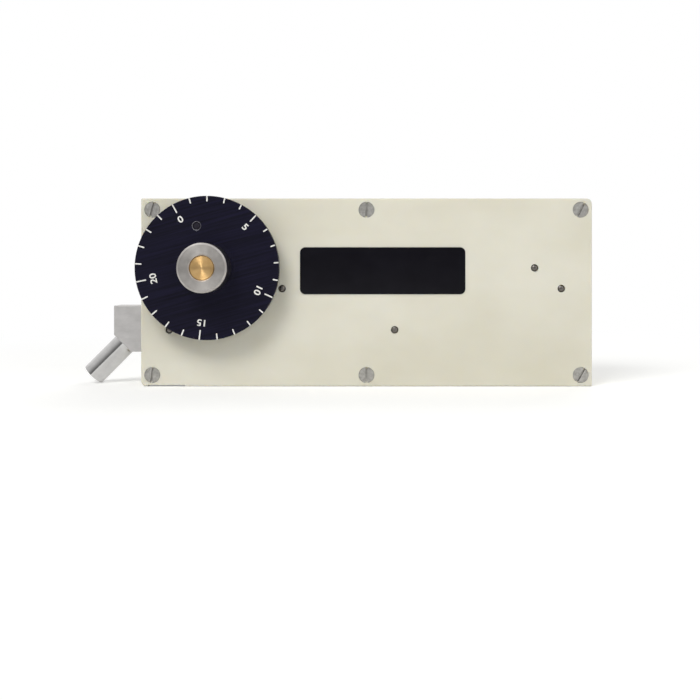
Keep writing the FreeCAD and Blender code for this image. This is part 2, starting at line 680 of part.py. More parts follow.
# Dial disc
DIAL_BORE = f"({COLLAR_RADIUS} + dim.fit_clearance)"
dial_profile = [
    (DIAL_BORE, DIAL_FRONT),
    ("dim.dial_diameter / 2 - dim.dial_edge", DIAL_FRONT),
    ("dim.dial_diameter / 2", f"{DIAL_FRONT} + dim.dial_edge"),
    ("dim.dial_diameter / 2", f"{DIAL_BACK} - dim.dial_edge"),
    ("dim.dial_diameter / 2 - dim.dial_edge", DIAL_BACK),
    (DIAL_BORE, DIAL_BACK),
]
dial = turned("dial_disc", dial_profile)
GRIP_FRONT = f"({DIAL_BACK} - dim.hub_screw_grip - dim.side_clearance)"
drill(dial, [(x, z, hub_hole) for x, z in hub_spots], GRIP_FRONT, DIAL_BACK)
DIAL_STOP_X = "(dim.stop_circle_radius * cos(dim.dial_stop_angle))"
DIAL_STOP_Z = "(dim.stop_circle_radius * sin(dim.dial_stop_angle))"
drill(dial, [(DIAL_STOP_X, DIAL_STOP_Z, stop_hole)], DIAL_FRONT, DIAL_BACK)
dress_rim(dial, "Chamfer", "dim.stop_hole_bevel", DIAL_STOP_X, DIAL_FRONT, DIAL_STOP_Z)
keep(place(dial, DIAL_X, "0", DIAL_Z), "dial_disc")

# Stop pins of the dial
STOP_RADIUS = "dim.stop_pin_diameter / 2"
dial_stop_ends = (f"{DIAL_FRONT} + dim.stop_pin_recess", f"{FRONT} - dim.stop_pin_gap")
dial_stop = turned("dial_stop_pin", pin_profile(STOP_RADIUS, *dial_stop_ends, "dim.pin_edge"))
keep(place(dial_stop, f"{DIAL_X} + {DIAL_STOP_X}", "0", f"{DIAL_Z} + {DIAL_STOP_Z}"), "dial_stop_pin")
fixed_stop_ends = (f"{DIAL_BACK} + dim.stop_pin_gap", f"{FRONT} + dim.stop_pin_seat")
fixed_stop = turned("fixed_stop_pin", pin_profile(STOP_RADIUS, *fixed_stop_ends, "dim.pin_edge"))
keep(place(fixed_stop, FIXED_STOP_X, "0", FIXED_STOP_Z), "fixed_stop_pin")


# Load cam: a spiral that swings the follower in step with the dial
def cam_point(dial_degrees):
    """Point of the cam outline that faces the follower nose when the dial has turned this far."""
    nose = value("dim.follower_pin_diameter / 2")

    def nose_centre(degrees):
        swing = math.radians(degrees / value("dim.dial_degrees_per_follower_degree"))
        across = -value("dim.follower_span")
        rise = value(f"{NOSE_TOP} - {FOLLOWER_Z}") - nose
        moved_x = across * math.cos(swing) - rise * math.sin(swing)
        moved_z = across * math.sin(swing) + rise * math.cos(swing)
        seen_x = moved_x + value("dim.follower_span")
        seen_z = moved_z - value("dim.follower_pivot_drop")
        back = -math.radians(degrees)
        turned_x = seen_x * math.cos(back) - seen_z * math.sin(back)
        turned_z = seen_x * math.sin(back) + seen_z * math.cos(back)
        return FreeCAD.Vector(turned_x, 0, turned_z)

    centre = nose_centre(dial_degrees)
    ahead = nose_centre(dial_degrees + SMALL_TURN) - nose_centre(dial_degrees - SMALL_TURN)
    inward = FreeCAD.Vector(-ahead.z, 0, ahead.x).normalize()
    if inward.dot(centre) > 0:
        inward = -inward
    return centre + inward * (nose + value("dim.cam_clearance"))


def cam_shape():
    """Cam disc with a boss on both sides, bored for the shaft and its cross pin."""
    start = -value("dim.dial_travel_back + dim.cam_lead_in")
    end = value("dim.dial_travel_forward + dim.cam_run_out")
    points = [cam_point(start + (end - start) * step / CAM_STEPS) for step in range(CAM_STEPS + 1)]
    spiral = Part.BSplineCurve()
    spiral.interpolate(points)
    flank = Part.LineSegment(points[-1], points[0])
    face = Part.Face(Part.Wire([spiral.toShape(), flank.toShape()]))
    half = value("dim.cam_width / 2")
    face.translate(FreeCAD.Vector(0, -half, 0))
    disc = face.extrude(FreeCAD.Vector(0, 2 * half, 0))
    along = FreeCAD.Vector(0, 1, 0)
    reach = value(BUSH_HALF)
    base = FreeCAD.Vector(0, -reach, 0)
    boss = Part.makeCylinder(value(f"{SHAFT_RADIUS} + dim.cam_boss_wall"), 2 * reach, base, along)
    bore = Part.makeCylinder(value(SHAFT_SEAT), 2 * reach, base, along)
    pin_radius = value("dim.cam_pin_diameter / 2 + dim.fit_clearance")
    height = value("dim.shaft_diameter")
    pin_base = FreeCAD.Vector(0, value(CAM_PIN_Y), -height)
    pin_bore = Part.makeCylinder(pin_radius, 2 * height, pin_base)
    return disc.fuse(boss).cut(bore).cut(pin_bore).removeSplitter()


load_cam = doc.addObject("Part::Feature", "load_cam")
load_cam.Shape = cam_shape()
keep(place(load_cam, DIAL_X, "0", DIAL_Z), "load_cam")
cam_pin_half = f"({SHAFT_RADIUS} + dim.cam_boss_wall - dim.side_clearance)"
cam_pin_ends = (f"-{cam_pin_half}", cam_pin_half)
cam_pin = turned("cam_pin", pin_profile("dim.cam_pin_diameter / 2", *cam_pin_ends, "dim.pin_edge"))
keep(place(cam_pin, DIAL_X, CAM_PIN_Y, DIAL_Z, Y_TO_Z), "cam_pin")

# Follower that the cam presses down
follower_half = "(dim.follower_width / 2)"
BOSS_RADIUS = f"({FOLLOWER_Z} - {FOLLOWER_BOTTOM})"
bar = slab(
    "follower_bar",
    box_corners(FOLLOWER_END, FOLLOWER_X, FOLLOWER_BOTTOM, FOLLOWER_TOP),
    f"-{follower_half}",
    follower_half,
)
boss_sketch = new_sketch(bar, "XZ_Plane", f"-{follower_half}")
draw_circles(boss_sketch, [(FOLLOWER_X, FOLLOWER_Z, f"2 * {BOSS_RADIUS}")])
boss_pad = bar.newObject("PartDesign::Pad", "follower_boss")
boss_pad.Profile = boss_sketch
boss_pad.setExpression("Length", "dim.follower_width")
doc.recompute()
bush_hole = f"2 * {PIVOT_BUSH} + 2 * dim.fit_clearance"
drill(bar, [(FOLLOWER_X, FOLLOWER_Z, bush_hole)], f"-{follower_half}", follower_half)
nose_sketch = new_sketch(bar, "XY_Plane", FOLLOWER_TOP)
nose_hole = "dim.follower_pin_diameter + 2 * dim.fit_clearance"
draw_circles(nose_sketch, [(DIAL_X, "0", nose_hole)])
cut_pocket(bar, nose_sketch, "dim.follower_thickness")
keep(bar, "follower_arm")
bush_ends = (f"-{BUSH_HALF}", BUSH_HALF)
follower_bush = turned("follower_bush", ring_profile(PIVOT_BORE, PIVOT_BUSH, *bush_ends))
keep(place(follower_bush, FOLLOWER_X, "0", FOLLOWER_Z), "follower_bush")


def follower_pin_shape():
    """Upright pin with a domed nose above the bar and a spring stud below it."""
    radius = value("dim.follower_pin_diameter / 2")
    bottom = value(f"{FOLLOWER_BOTTOM} - dim.follower_stud_length")
    centre = value(NOSE_TOP) - radius
    shank = Part.makeCylinder(radius, centre - bottom, FreeCAD.Vector(0, 0, bottom))
    dome = Part.makeSphere(radius, FreeCAD.Vector(0, 0, centre))
    return shank.fuse(dome).removeSplitter()


follower_pin = doc.addObject("Part::Feature", "follower_pin")
follower_pin.Shape = follower_pin_shape()
keep(place(follower_pin, DIAL_X), "follower_pin")

# Tool arm on its pivot
ARM_HALF = "(dim.arm_width / 2)"
arm_outline = [
    (ARM_LEFT, ARM_TOP),
    (ARM_LEFT, f"{ARM_BOTTOM} + dim.arm_end_chamfer"),
    (f"{ARM_LEFT} + dim.arm_end_chamfer", ARM_BOTTOM),
    (ARM_TAIL, ARM_BOTTOM),
    (ARM_TAIL, ARM_TOP),
    (RELIEF_RIGHT, ARM_TOP),
    (RELIEF_RIGHT, RELIEF_FLOOR),
    (RELIEF_LEFT, RELIEF_FLOOR),
    (RELIEF_LEFT, ARM_TOP),
]
arm = slab("arm_bar", arm_outline, f"-{ARM_HALF}", ARM_HALF)
break_edges(arm, "dim.arm_edge", f"-{ARM_HALF}")
break_edges(arm, "dim.arm_edge", ARM_HALF)
arm_holes = [
    (ARM_PIVOT_X, "dim.arm_axis_height", bush_hole),
    (ARM_STOP_X, "dim.arm_axis_height", ARM_STOP_HOLE),
]
drill(arm, arm_holes, f"-{ARM_HALF}", ARM_HALF)
pocket_sketch = new_sketch(arm, "XY_Plane", RELIEF_FLOOR)
draw_circles(pocket_sketch, [(DIAL_X, "0", "dim.load_spring_pocket")])
cut_pocket(arm, pocket_sketch, "dim.load_spring_pocket_depth")
screw_hole = "dim.set_screw_diameter + 2 * dim.fit_clearance"
drill(arm, [(TOOL_SCREW_X, TOOL_SCREW_Z, screw_hole)], "0", ARM_HALF)

# The tool stands square to the sloping end face
INTO_ARM = FreeCAD.Rotation(FreeCAD.Vector(0, 1, 0), 45)
tool_bore = doc.addObject("Part::Cylinder", "tool_bore")
tool_bore.setExpression("Radius", "dim.tool_diameter / 2 + dim.fit_clearance")
tool_bore.setExpression("Height", "2 * dim.tool_seat")
bore_start = "dim.tool_seat / sqrt(2)"
place(tool_bore, f"{TOOL_X} - {bore_start}", "0", f"{TOOL_Z} - {bore_start}", INTO_ARM)
tool_arm = doc.addObject("Part::Cut", "tool_arm")
tool_arm.Base = arm
tool_arm.Tool = tool_bore
keep(tool_arm, "tool_arm")
arm_bush = turned("arm_bush", ring_profile(PIVOT_BORE, PIVOT_BUSH, *bush_ends))
keep(place(arm_bush, ARM_PIVOT_X, "0", "dim.arm_axis_height"), "arm_bush")

tool_ends = (f"-{TOOL_REACH}", "(dim.tool_seat - dim.fit_clearance)")
tool = turned("scratch_tool", pin_profile("dim.tool_diameter / 2", *tool_ends, "dim.tool_edge"))
FLAT_DEPTH = "(dim.tool_diameter / 2 - dim.tool_flat)"
mill(
    tool,
    box_corners("-dim.tool_diameter", "dim.tool_diameter", FLAT_DEPTH, "dim.tool_diameter"),
    "dim.tool_seat / 4",
    "dim.tool_seat",
)
# Local Y points up into the arm, and the clamping flat faces the rear
slant = FreeCAD.Vector(1, 0, 1)
rearward = FreeCAD.Vector(0, 1, 0)
tool_turn = FreeCAD.Rotation(slant.cross(rearward), slant, rearward, "YZX")
keep(place(tool, TOOL_X, "0", TOOL_Z, tool_turn), "scratch_tool")

tool_screw_length = f"{ARM_HALF} - {FLAT_DEPTH} - dim.side_clearance - dim.fit_clearance"
tool_set_screw = set_screw("tool_set_screw", tool_screw_length)
FLIP = FreeCAD.Rotation(FreeCAD.Vector(0, 0, 1), 180)
screw_face = f"{ARM_HALF} - dim.side_clearance"
keep(place(tool_set_screw, TOOL_SCREW_X, screw_face, TOOL_SCREW_Z, FLIP), "tool_set_screw")


# Springs
def coil_arcs(start, axis, across, radius, pitch, turns):
    """Arcs of up to a quarter turn that wind round the axis and climb along it."""
    side = axis.cross(across)
    steps = math.ceil(4 * turns)

    def point(share):
        turn = 2 * math.pi * turns * share
        spoke = across * math.cos(turn) + side * math.sin(turn)
        return start + spoke * radius + axis * (pitch * turns * share)

    return [
        Part.Arc(point(step / steps), point((step + 0.5) / steps), point((step + 1) / steps)).toShape()
        for step in range(steps)
    ]


def end_tangents(arcs):
    """Directions in which a chain of arcs starts and ends."""
    return arcs[0].tangentAt(arcs[0].FirstParameter), arcs[-1].tangentAt(arcs[-1].LastParameter)


def wire_form(path, wire):
    """Solid round wire along a path of tangent lines and arcs."""
    first = path[0]
    start = first.valueAt(first.FirstParameter)
    section = Part.Wire(Part.Circle(start, first.tangentAt(first.FirstParameter), wire / 2).toShape())
    return Part.Wire(path).makePipeShell([section], True, False)


def line(start, end):
    """Straight edge between two points."""
    return Part.LineSegment(start, end).toShape()


def load_spring_shape():
    """Compression spring between the arm's pocket and the follower, about its own axis."""
    wire = value("dim.load_spring_wire")
    bottom = value(POCKET_FLOOR) + wire / 2 + value("dim.spring_end_gap")
    top = value(FOLLOWER_BOTTOM) - wire / 2 - value("dim.spring_end_gap")
    turns = value("dim.load_spring_turns")
    pitch = (top - bottom) / turns
    print("load spring gap between turns", round(pitch - wire, 2))
    start = FreeCAD.Vector(0, 0, bottom)
    upward = FreeCAD.Vector(0, 0, 1)
    across = FreeCAD.Vector(1, 0, 0)
    radius = value("dim.load_spring_diameter / 2")
    return wire_form(coil_arcs(start, upward, across, radius, pitch, turns), wire)


load_spring = doc.addObject("Part::Feature", "load_spring")
load_spring.Shape = load_spring_shape()
keep(place(load_spring, DIAL_X), "load_spring")


def balance_spring_shape():
    """Torsion spring round its pin, one leg on the anchor pin and one foot on the arm's tail."""
    wire = value("dim.balance_wire")
    radius = value(BALANCE_COIL)
    pitch = value("dim.balance_pitch")
    print("balance spring gap between turns", round(pitch - wire, 2))
    height = value("dim.balance_pin_height")
    toward_front = FreeCAD.Vector(0, -1, 0)
    anchor_drop = value("dim.anchor_pin_height") - height
    to_anchor = FreeCAD.Vector(value(f"{ANCHOR_X} - {BALANCE_X}"), 0, anchor_drop)
    anchor_reach = to_anchor.Length + wire
    # The anchor leg lies on the outer side of the anchor pin
    outward = to_anchor.cross(toward_front).normalize() * -1
    # The arm leg leaves the coil where its line meets the foot
    foot_z = value(ARM_TOP) + wire / 2 + value("dim.spring_end_gap") - height
    foot_x = -value("dim.balance_leg_run")
    leave = math.atan2(foot_z, foot_x) - math.acos(radius / math.hypot(foot_x, foot_z))
    extra = (leave - math.atan2(outward.z, outward.x)) / (2 * math.pi) % 1
    turns = value("dim.balance_turns") + extra
    start = FreeCAD.Vector(0, turns * pitch / 2, height)
    arcs = coil_arcs(start, toward_front, outward, radius, pitch, turns)
    first_way, last_way = end_tangents(arcs)
    first = arcs[0].valueAt(arcs[0].FirstParameter)
    last = arcs[-1].valueAt(arcs[-1].LastParameter)
    knee = last + last_way * ((height + foot_z - last.z) / last_way.z)
    along = FreeCAD.Vector(-1, 0, 0)
    bend = value("dim.balance_knee_radius")
    half_turn = last_way.getAngle(along) / 2
    inset = bend * math.tan(half_turn)
    inner = (along - last_way).normalize()
    bend_middle = knee + inner * (bend / math.cos(half_turn) - bend)
    bend_start = knee - last_way * inset
    bend_end = knee + along * inset
    path = [line(first - first_way * anchor_reach, first)]
    path += arcs
    path.append(line(last, bend_start))
    path.append(Part.Arc(bend_start, bend_middle, bend_end).toShape())
    path.append(line(bend_end, knee + along * value("dim.balance_foot")))
    return wire_form(path, wire)


balance_spring = doc.addObject("Part::Feature", "balance_spring")
balance_spring.Shape = balance_spring_shape()
keep(place(balance_spring, BALANCE_X), "balance_spring")
spacers = []
for side, (front, back) in enumerate(
    (
        (f"{BAY_FRONT} + dim.side_clearance", f"-{BALANCE_HALF} - dim.side_clearance"),
        (f"{BALANCE_HALF} + dim.side_clearance", f"{BAY_BACK} - dim.side_clearance"),
    )
):
    outer = f"{BALANCE_COIL} + dim.balance_wire / 2"
    spacer = turned(f"spring_spacer_{side}", ring_profile(PIVOT_BORE, outer, front, back))
    spacers.append(place(spacer, BALANCE_X, "0", "dim.balance_pin_height"))
group("spring_spacers", spacers)

# Check every object and write the nodes
doc.recompute()
for thing in doc.Objects:
    if "Invalid" in thing.State or "Error" in thing.State:
        raise RuntimeError(f"{thing.Name} failed to build")
for thing in nodes:
    if thing.Shape.isNull() or not thing.Shape.isValid():
        raise RuntimeError(f"{thing.Label} has no valid shape")
os.makedirs("parts", exist_ok=True)
for thing in nodes:
    thing.Shape.exportStep(os.path.join("parts", thing.Label + ".step"))
    solids = thing.Shape.Solids
    print(thing.Label, len(solids), "solids", round(sum(solid.Volume for solid in solids), 1), "mm3")
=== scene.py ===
"""Looks of a hand-held coating scratch tester: finishes, dial scale, label, studio and camera."""

import logging
import math
from dataclasses import dataclass, field
from enum import Enum, auto
from typing import Any, ClassVar

import bmesh
import bpy
import numpy as np
from bpy.types import Material, Mesh, Node, NodeSocket, NodeTree
from mathutils import Matrix, Vector


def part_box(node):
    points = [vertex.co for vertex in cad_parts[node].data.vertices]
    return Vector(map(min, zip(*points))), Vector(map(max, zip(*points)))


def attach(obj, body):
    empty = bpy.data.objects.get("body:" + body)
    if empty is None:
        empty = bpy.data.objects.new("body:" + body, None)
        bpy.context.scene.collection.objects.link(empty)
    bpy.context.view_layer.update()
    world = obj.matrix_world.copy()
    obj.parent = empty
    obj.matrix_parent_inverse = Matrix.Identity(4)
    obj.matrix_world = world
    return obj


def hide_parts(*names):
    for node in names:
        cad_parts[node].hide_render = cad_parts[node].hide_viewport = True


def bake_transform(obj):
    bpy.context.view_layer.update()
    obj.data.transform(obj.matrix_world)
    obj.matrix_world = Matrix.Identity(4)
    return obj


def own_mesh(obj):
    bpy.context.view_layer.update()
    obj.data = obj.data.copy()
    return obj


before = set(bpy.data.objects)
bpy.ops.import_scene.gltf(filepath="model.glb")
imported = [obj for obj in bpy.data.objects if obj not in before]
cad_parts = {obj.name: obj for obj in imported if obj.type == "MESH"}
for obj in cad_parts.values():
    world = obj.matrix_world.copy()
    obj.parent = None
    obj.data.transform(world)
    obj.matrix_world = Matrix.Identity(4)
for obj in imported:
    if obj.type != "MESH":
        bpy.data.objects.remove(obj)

LOG = logging.getLogger("scratch_tester")
MM = 0.001
IMAGE_SIDE = 700
NOISE_LOW, NOISE_HIGH = 0.3, 0.7

Pair = tuple[float, float]
Triple = tuple[float, float, float]


class Body(Enum):
    """Bodies of the tester that move on their own."""

    CASE = "case"
    DIAL = "dial"
    FOLLOWER = "follower"
    ARM = "arm"


class Slot(Enum):
    """Slot names of the record, passed along with the added pieces."""

    SCALE = "scale_paint"
    LABEL = "label_black"
    DIAL = "dial_black"
    SPRING = "spring_steel"


class Surface(Enum):
    """Surfaces that the tester shows."""

    CASE = auto()
    LABEL = auto()
    SCREW = auto()
    STEEL = auto()
    DIAL = auto()
    SCALE = auto()
    HUB = auto()
    SHAFT = auto()
    WORN_BEVEL = auto()
    ARM = auto()
    TOOL = auto()
    BLACK_STEEL = auto()
    BRONZE = auto()
    FIBRE = auto()
    SPRING = auto()


def linear(code: str) -> tuple[float, ...]:
    """Turn an sRGB colour into linear light.

    Args:
        code: Colour as "#RRGGBB".

    Returns:
        Linear red, green and blue with an alpha of 1.
    """
    srgb = np.array([int(code[start:start + 2], 16) for start in (1, 3, 5)]) / 255
    light = np.where(srgb <= 0.04045, srgb / 12.92, ((srgb + 0.055) / 1.055) ** 2.4)
    return (*light.tolist(), 1.0)


def add_node(
    tree: NodeTree,
    kind: str,
    settings: dict[str, Any] | None = None,
    inputs: dict[str | int, Any] | None = None,
) -> Node:
    """Add a node with its settings, values and links.

    Args:
        tree: Tree that the node joins.
        kind: Type name of the node.
        settings: Properties of the node by name.
        inputs: Values, or sockets to link from, by input name or number.

    Returns:
        The new node.
    """
    node = tree.nodes.new(kind)
    for name, value in (settings or {}).items():
        setattr(node, name, value)
    for name, value in (inputs or {}).items():
        if isinstance(value, NodeSocket):
            tree.links.new(value, node.inputs[name])
        else:
            node.inputs[name].default_value = value
    return node


def spread(tree: NodeTree, noise: NodeSocket, low: float, high: float) -> NodeSocket:
    """Stretch the usual reach of a noise to a range of values.

    Args:
        tree: Tree that the step joins.
        noise: Socket of the noise.
        low: Value at the low end of the reach and below.
        high: Value at its high end and above.

    Returns:
        Socket of the value.
    """
    return add_node(
        tree,
        "ShaderNodeMapRange",
        inputs={
            "Value": noise,
            "From Min": NOISE_LOW,
            "From Max": NOISE_HIGH,
            "To Min": low,
            "To Max": high,
        },
    ).outputs["Result"]


@dataclass(frozen=True)
class Grain:
    """Noise with a real grain size, which may differ along its three axes.

    Attributes:
        size_mm: Grain along the pattern's X, Y and Z.
        turn: Turn of the pattern about its centre, in radians.
        centre: Middle of the pattern, in metres.
        octaves: Finer layers on top of the first.
        fade: Strength of each layer in the one before.
    """

    size_mm: Triple
    turn: Triple = (0, 0, 0)
    centre: Triple = (0, 0, 0)
    octaves: float = 3
    fade: float = 0.55

    def noise(self, tree: NodeTree, place: NodeSocket) -> NodeSocket:
        """Draw the noise.

        Args:
            tree: Tree that the pattern joins.
            place: Object coordinates in metres.

        Returns:
            Socket of the noise.
        """
        mapping = add_node(
            tree,
            "ShaderNodeMapping",
            {"vector_type": "TEXTURE"},
            {
                "Vector": place,
                "Location": self.centre,
                "Rotation": self.turn,
                "Scale": tuple(size * MM for size in self.size_mm),
            },
        )
        return add_node(
            tree,
            "ShaderNodeTexNoise",
            inputs={
                "Vector": mapping.outputs["Vector"],
                "Scale": 1,
                "Detail": self.octaves,
                "Roughness": self.fade,
            },
        ).outputs["Fac"]


@dataclass(frozen=True)
class Finish:
    """Surface of one material, with a second tone, a gloss that varies and a fine relief.

    Attributes:
        name: Common name of the material and how it was made.
        base: Its main colour.
        second: Colour of its clouds, stains or streaks.
        metallic: 1 for a bare metal, 0 for anything else.
        roughness: Middle of its roughness.
        cloud: Pattern of the second colour.
        grain: Pattern of its gloss and relief.
        gloss_range: How far the roughness strays to either side.
        relief_mm: Depth of the relief.
        shine: Level of a dielectric's mirror reflection, 0.5 for most.
    """

    name: str
    base: str
    second: str
    metallic: float
    roughness: float
    cloud: Grain = Grain((4, 4, 4))
    grain: Grain = Grain((1, 1, 1))
    gloss_range: float = 0.06
    relief_mm: float = 0.004
    shine: float = 0.5

    def material(self) -> Material:
        """Make the material.

        Returns:
            A new material with procedural nodes.
        """
        made = bpy.data.materials.new(self.name)
        made.use_nodes = True
        tree = made.node_tree
        tree.nodes.clear()
        place = add_node(tree, "ShaderNodeTexCoord").outputs["Object"]
        share = spread(tree, self.cloud.noise(tree, place), 0, 1)
        tone = add_node(
            tree,
            "ShaderNodeMix",
            {"data_type": "RGBA"},
            {0: share, 6: linear(self.base), 7: linear(self.second)},
        ).outputs[2]
        height = self.height(tree, place)
        gloss = spread(tree, height, self.roughness - self.gloss_range, self.roughness + self.gloss_range)
        bump = add_node(tree, "ShaderNodeBump", inputs={"Height": height, "Distance": self.relief_mm * MM})
        shader = add_node(
            tree,
            "ShaderNodeBsdfPrincipled",
            inputs={
                "Base Color": tone,
                "Metallic": self.metallic,
                "Roughness": gloss,
                "Specular IOR Level": self.shine,
                "Normal": bump.outputs["Normal"],
            },
        )
        self.refine(tree, place, shader)
        add_node(tree, "ShaderNodeOutputMaterial", inputs={"Surface": shader.outputs["BSDF"]})
        return made

    def height(self, tree: NodeTree, place: NodeSocket) -> NodeSocket:
        """Height that gives both gloss and relief.

        Args:
            tree: Tree of the material.
            place: Object coordinates in metres.

        Returns:
            Socket of the height, from 0 to 1.
        """
        return self.grain.noise(tree, place)

    def refine(self, tree: NodeTree, place: NodeSocket, shader: Node) -> None:
        """Add what only some finishes have, which is nothing here.

        Args:
            tree: Tree of the material.
            place: Object coordinates in metres.
            shader: Principled shader of the material.
        """


@dataclass(frozen=True)
class MilkyPlastic(Finish):
    """Natural plastic that light soaks into, so its edges and shadows look soft.

    Attributes:
        soak_mm: How far light travels under the skin.
        soak_share: Share of the light that does.
        soak_colours: Reach of red, green and blue, as shares of the depth.
    """

    soak_mm: float = 3.0
    soak_share: float = 0.3
    soak_colours: Triple = (1.0, 0.8, 0.5)

    def refine(self, tree: NodeTree, place: NodeSocket, shader: Node) -> None:
        """Let light scatter a few millimetres under the skin, red furthest.

        Args:
            tree: Tree of the material.
            place: Object coordinates in metres.
            shader: Principled shader of the material.
        """
        shader.inputs["Subsurface Weight"].default_value = self.soak_share
        shader.inputs["Subsurface Radius"].default_value = self.soak_colours
        shader.inputs["Subsurface Scale"].default_value = self.soak_mm * MM


@dataclass(frozen=True)
class TurnedMetal(Finish):
    """Metal faced on a lathe, whose fine rings draw a lamp out into two bright wedges.

    Attributes:
        axis: Point on the lathe's axis, in metres.
        ring_mm: Width of a ring.
        ring_octaves: Finer rings on top of the first.
        stretch: How far a reflection is drawn out, from 0 to 1.
    """

    axis: Triple = (0, 0, 0)
    ring_mm: float = 0.5
    ring_octaves: float = 4
    stretch: float = 0.7

    def from_axis(self, tree: NodeTree, place: NodeSocket) -> NodeSocket:
        """Vector from the lathe's axis, which runs along Y.

        Args:
            tree: Tree of the material.
            place: Object coordinates in metres.

        Returns:
            Socket of the vector.
        """
        return add_node(
            tree,
            "ShaderNodeMapping",
            inputs={"Vector": place, "Scale": (1, 0, 1), "Location": (-self.axis[0], 0, -self.axis[2])},
        ).outputs["Vector"]

    def height(self, tree: NodeTree, place: NodeSocket) -> NodeSocket:
        """Rings drawn coarser than real feed marks, so that they show.

        Args:
            tree: Tree of the material.
            place: Object coordinates in metres.

        Returns:
            Socket of the height, from 0 to 1.
        """
        radius = add_node(
            tree, "ShaderNodeVectorMath", {"operation": "LENGTH"}, {0: self.from_axis(tree, place)}
        ).outputs["Value"]
        return add_node(
            tree,
            "ShaderNodeTexNoise",
            {"noise_dimensions": "1D"},
            {"W": radius, "Scale": 1 / (self.ring_mm * MM), "Detail": self.ring_octaves},
        ).outputs["Fac"]

    def refine(self, tree: NodeTree, place: NodeSocket, shader: Node) -> None:
        """Stretch reflections across the rings.

        Args:
            tree: Tree of the material.
            place: Object coordinates in metres.
            shader: Principled shader of the material.
        """
        across = add_node(
            tree,
            "ShaderNodeVectorTransform",
            {"vector_type": "VECTOR", "convert_from": "OBJECT", "convert_to": "WORLD"},
            {"Vector": self.from_axis(tree, place)},
        ).outputs["Vector"]
        tree.links.new(across, shader.inputs["Tangent"])
        shader.inputs["Anisotropic"].default_value = self.stretch


def middle(node: str) -> Vector:
    """Middle of a solid's box at rest.

    Args:
        node: Name of the solid.

    Returns:
        The point in metres.
    """
    low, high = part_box(node)
    return (low + high) / 2


def make_finishes() -> dict[Surface, Material]:
    """Make every finish of the tester.

    Returns:
        Materials by surface.
    """
    shaft = middle("dial_shaft")
    axis = (shaft.x, 0, shaft.z)
    brushed = (0, math.radians(-15), 0)
    along_tool = (0, math.radians(-45), 0)
    finishes = {
        # Milky cream with deeper clouds; the long grain shows as cutter marks on the edges
        Surface.CASE: MilkyPlastic(
            "natural_nylon_milled",
            "#E4E1D3",
            "#D9D5C3",
            0,
            0.46,
            Grain((70, 40, 45)),
            Grain((0.9, 25, 0.9)),
        ),
        # Deep gloss with a slight ripple of the film
        Surface.LABEL: Finish(
            "vinyl_film_gloss",
            "#100F14",
            "#15141A",
            0,
            0.13,
            Grain((20, 20, 20)),
            Grain((6, 6, 6)),
            0.04,
            shine=0.1,
        ),
        # Dull grey plate with fine scratches
        Surface.SCREW: Finish(
            "steel_nickel_plated",
            "#BEBCB8",
            "#9C9A95",
            1,
            0.4,
            Grain((1.5, 1.5, 1.5)),
            Grain((0.4, 0.4, 5)),
        ),
        # Grey and fairly bright, ground along its length
        Surface.STEEL: Finish(
            "steel_ground",
            "#807C78",
            "#66625E",
            1,
            0.3,
            Grain((1.2, 1.2, 1.2)),
            Grain((0.5, 6, 0.5)),
            0.05,
            0.002,
        ),
        # Nearly black with a blue cast, and straight lines brushed before the dye
        Surface.DIAL: Finish(
            "aluminium_black_anodised",
            "#090815",
            "#16142A",
            0,
            0.42,
            Grain((40, 40, 0.9), brushed, axis),
            Grain((30, 30, 0.6), brushed, axis),
            0.08,
            0.006,
            0.12,
        ),
        # Dark metal that shows where the dye is thin on an edge
        Surface.WORN_BEVEL: Finish(
            "aluminium_worn_anodised",
            "#96959C",
            "#6A6970",
            1,
            0.4,
            Grain((0.8, 0.8, 0.8)),
            Grain((0.4, 0.4, 0.4)),
        ),
        # Plain white filling, a little worn
        Surface.SCALE: Finish(
            "enamel_filled_in",
            "#F1F0EB",
            "#E2E1DC",
            0,
            0.5,
            Grain((1, 1, 1)),
            Grain((0.5, 0.5, 0.5)),
        ),
        # Soft grey rings with a paler wedge above and below
        Surface.HUB: TurnedMetal(
            "steel_turned", "#BCB8B4", "#A9A5A1", 1, 0.36, relief_mm=0.006, axis=axis, stretch=0.6
        ),
        # Warm rings with bright wedges above and below
        Surface.SHAFT: TurnedMetal(
            "brass_turned",
            "#E3BE85",
            "#D2AA71",
            1,
            0.34,
            relief_mm=0.006,
            axis=axis,
            ring_mm=0.4,
            stretch=0.95,
        ),
        # Matt and pale, with a faint tooth
        Surface.ARM: Finish(
            "aluminium_bead_blasted",
            "#C9C7C6",
            "#B9B7B6",
            1,
            0.5,
            Grain((9, 9, 5)),
            Grain((2.5, 2.5, 0.6)),
        ),
        # Mirror bright, with faint rings left by the grinding wheel
        Surface.TOOL: Finish(
            "tool_steel_polished",
            "#CCCBCA",
            "#BEBDBC",
            1,
            0.08,
            Grain((5, 5, 5)),
            Grain((0.5, 12, 12), along_tool),
            0.03,
            0.0005,
        ),
        # Dark grey with hardly any gleam
        Surface.BLACK_STEEL: Finish("steel_black_oxide", "#3A3841", "#2A282F", 1, 0.45, Grain((1, 1, 1))),
        # Brown gold with open pores
        Surface.BRONZE: Finish("bronze_sintered", "#B08A55", "#8A6638", 1, 0.5, Grain((0.6, 0.6, 0.6))),
        # Red brown and leathery
        Surface.FIBRE: Finish("fibre_vulcanised", "#7A4B36", "#5F3827", 0, 0.6, Grain((1, 8, 8))),
        # Grey with a drawn sheen
        Surface.SPRING: Finish("spring_wire_drawn", "#929295", "#737376", 1, 0.35, Grain((1, 1, 1))),
    }
    return {surface: finish.material() for surface, finish in finishes.items()}


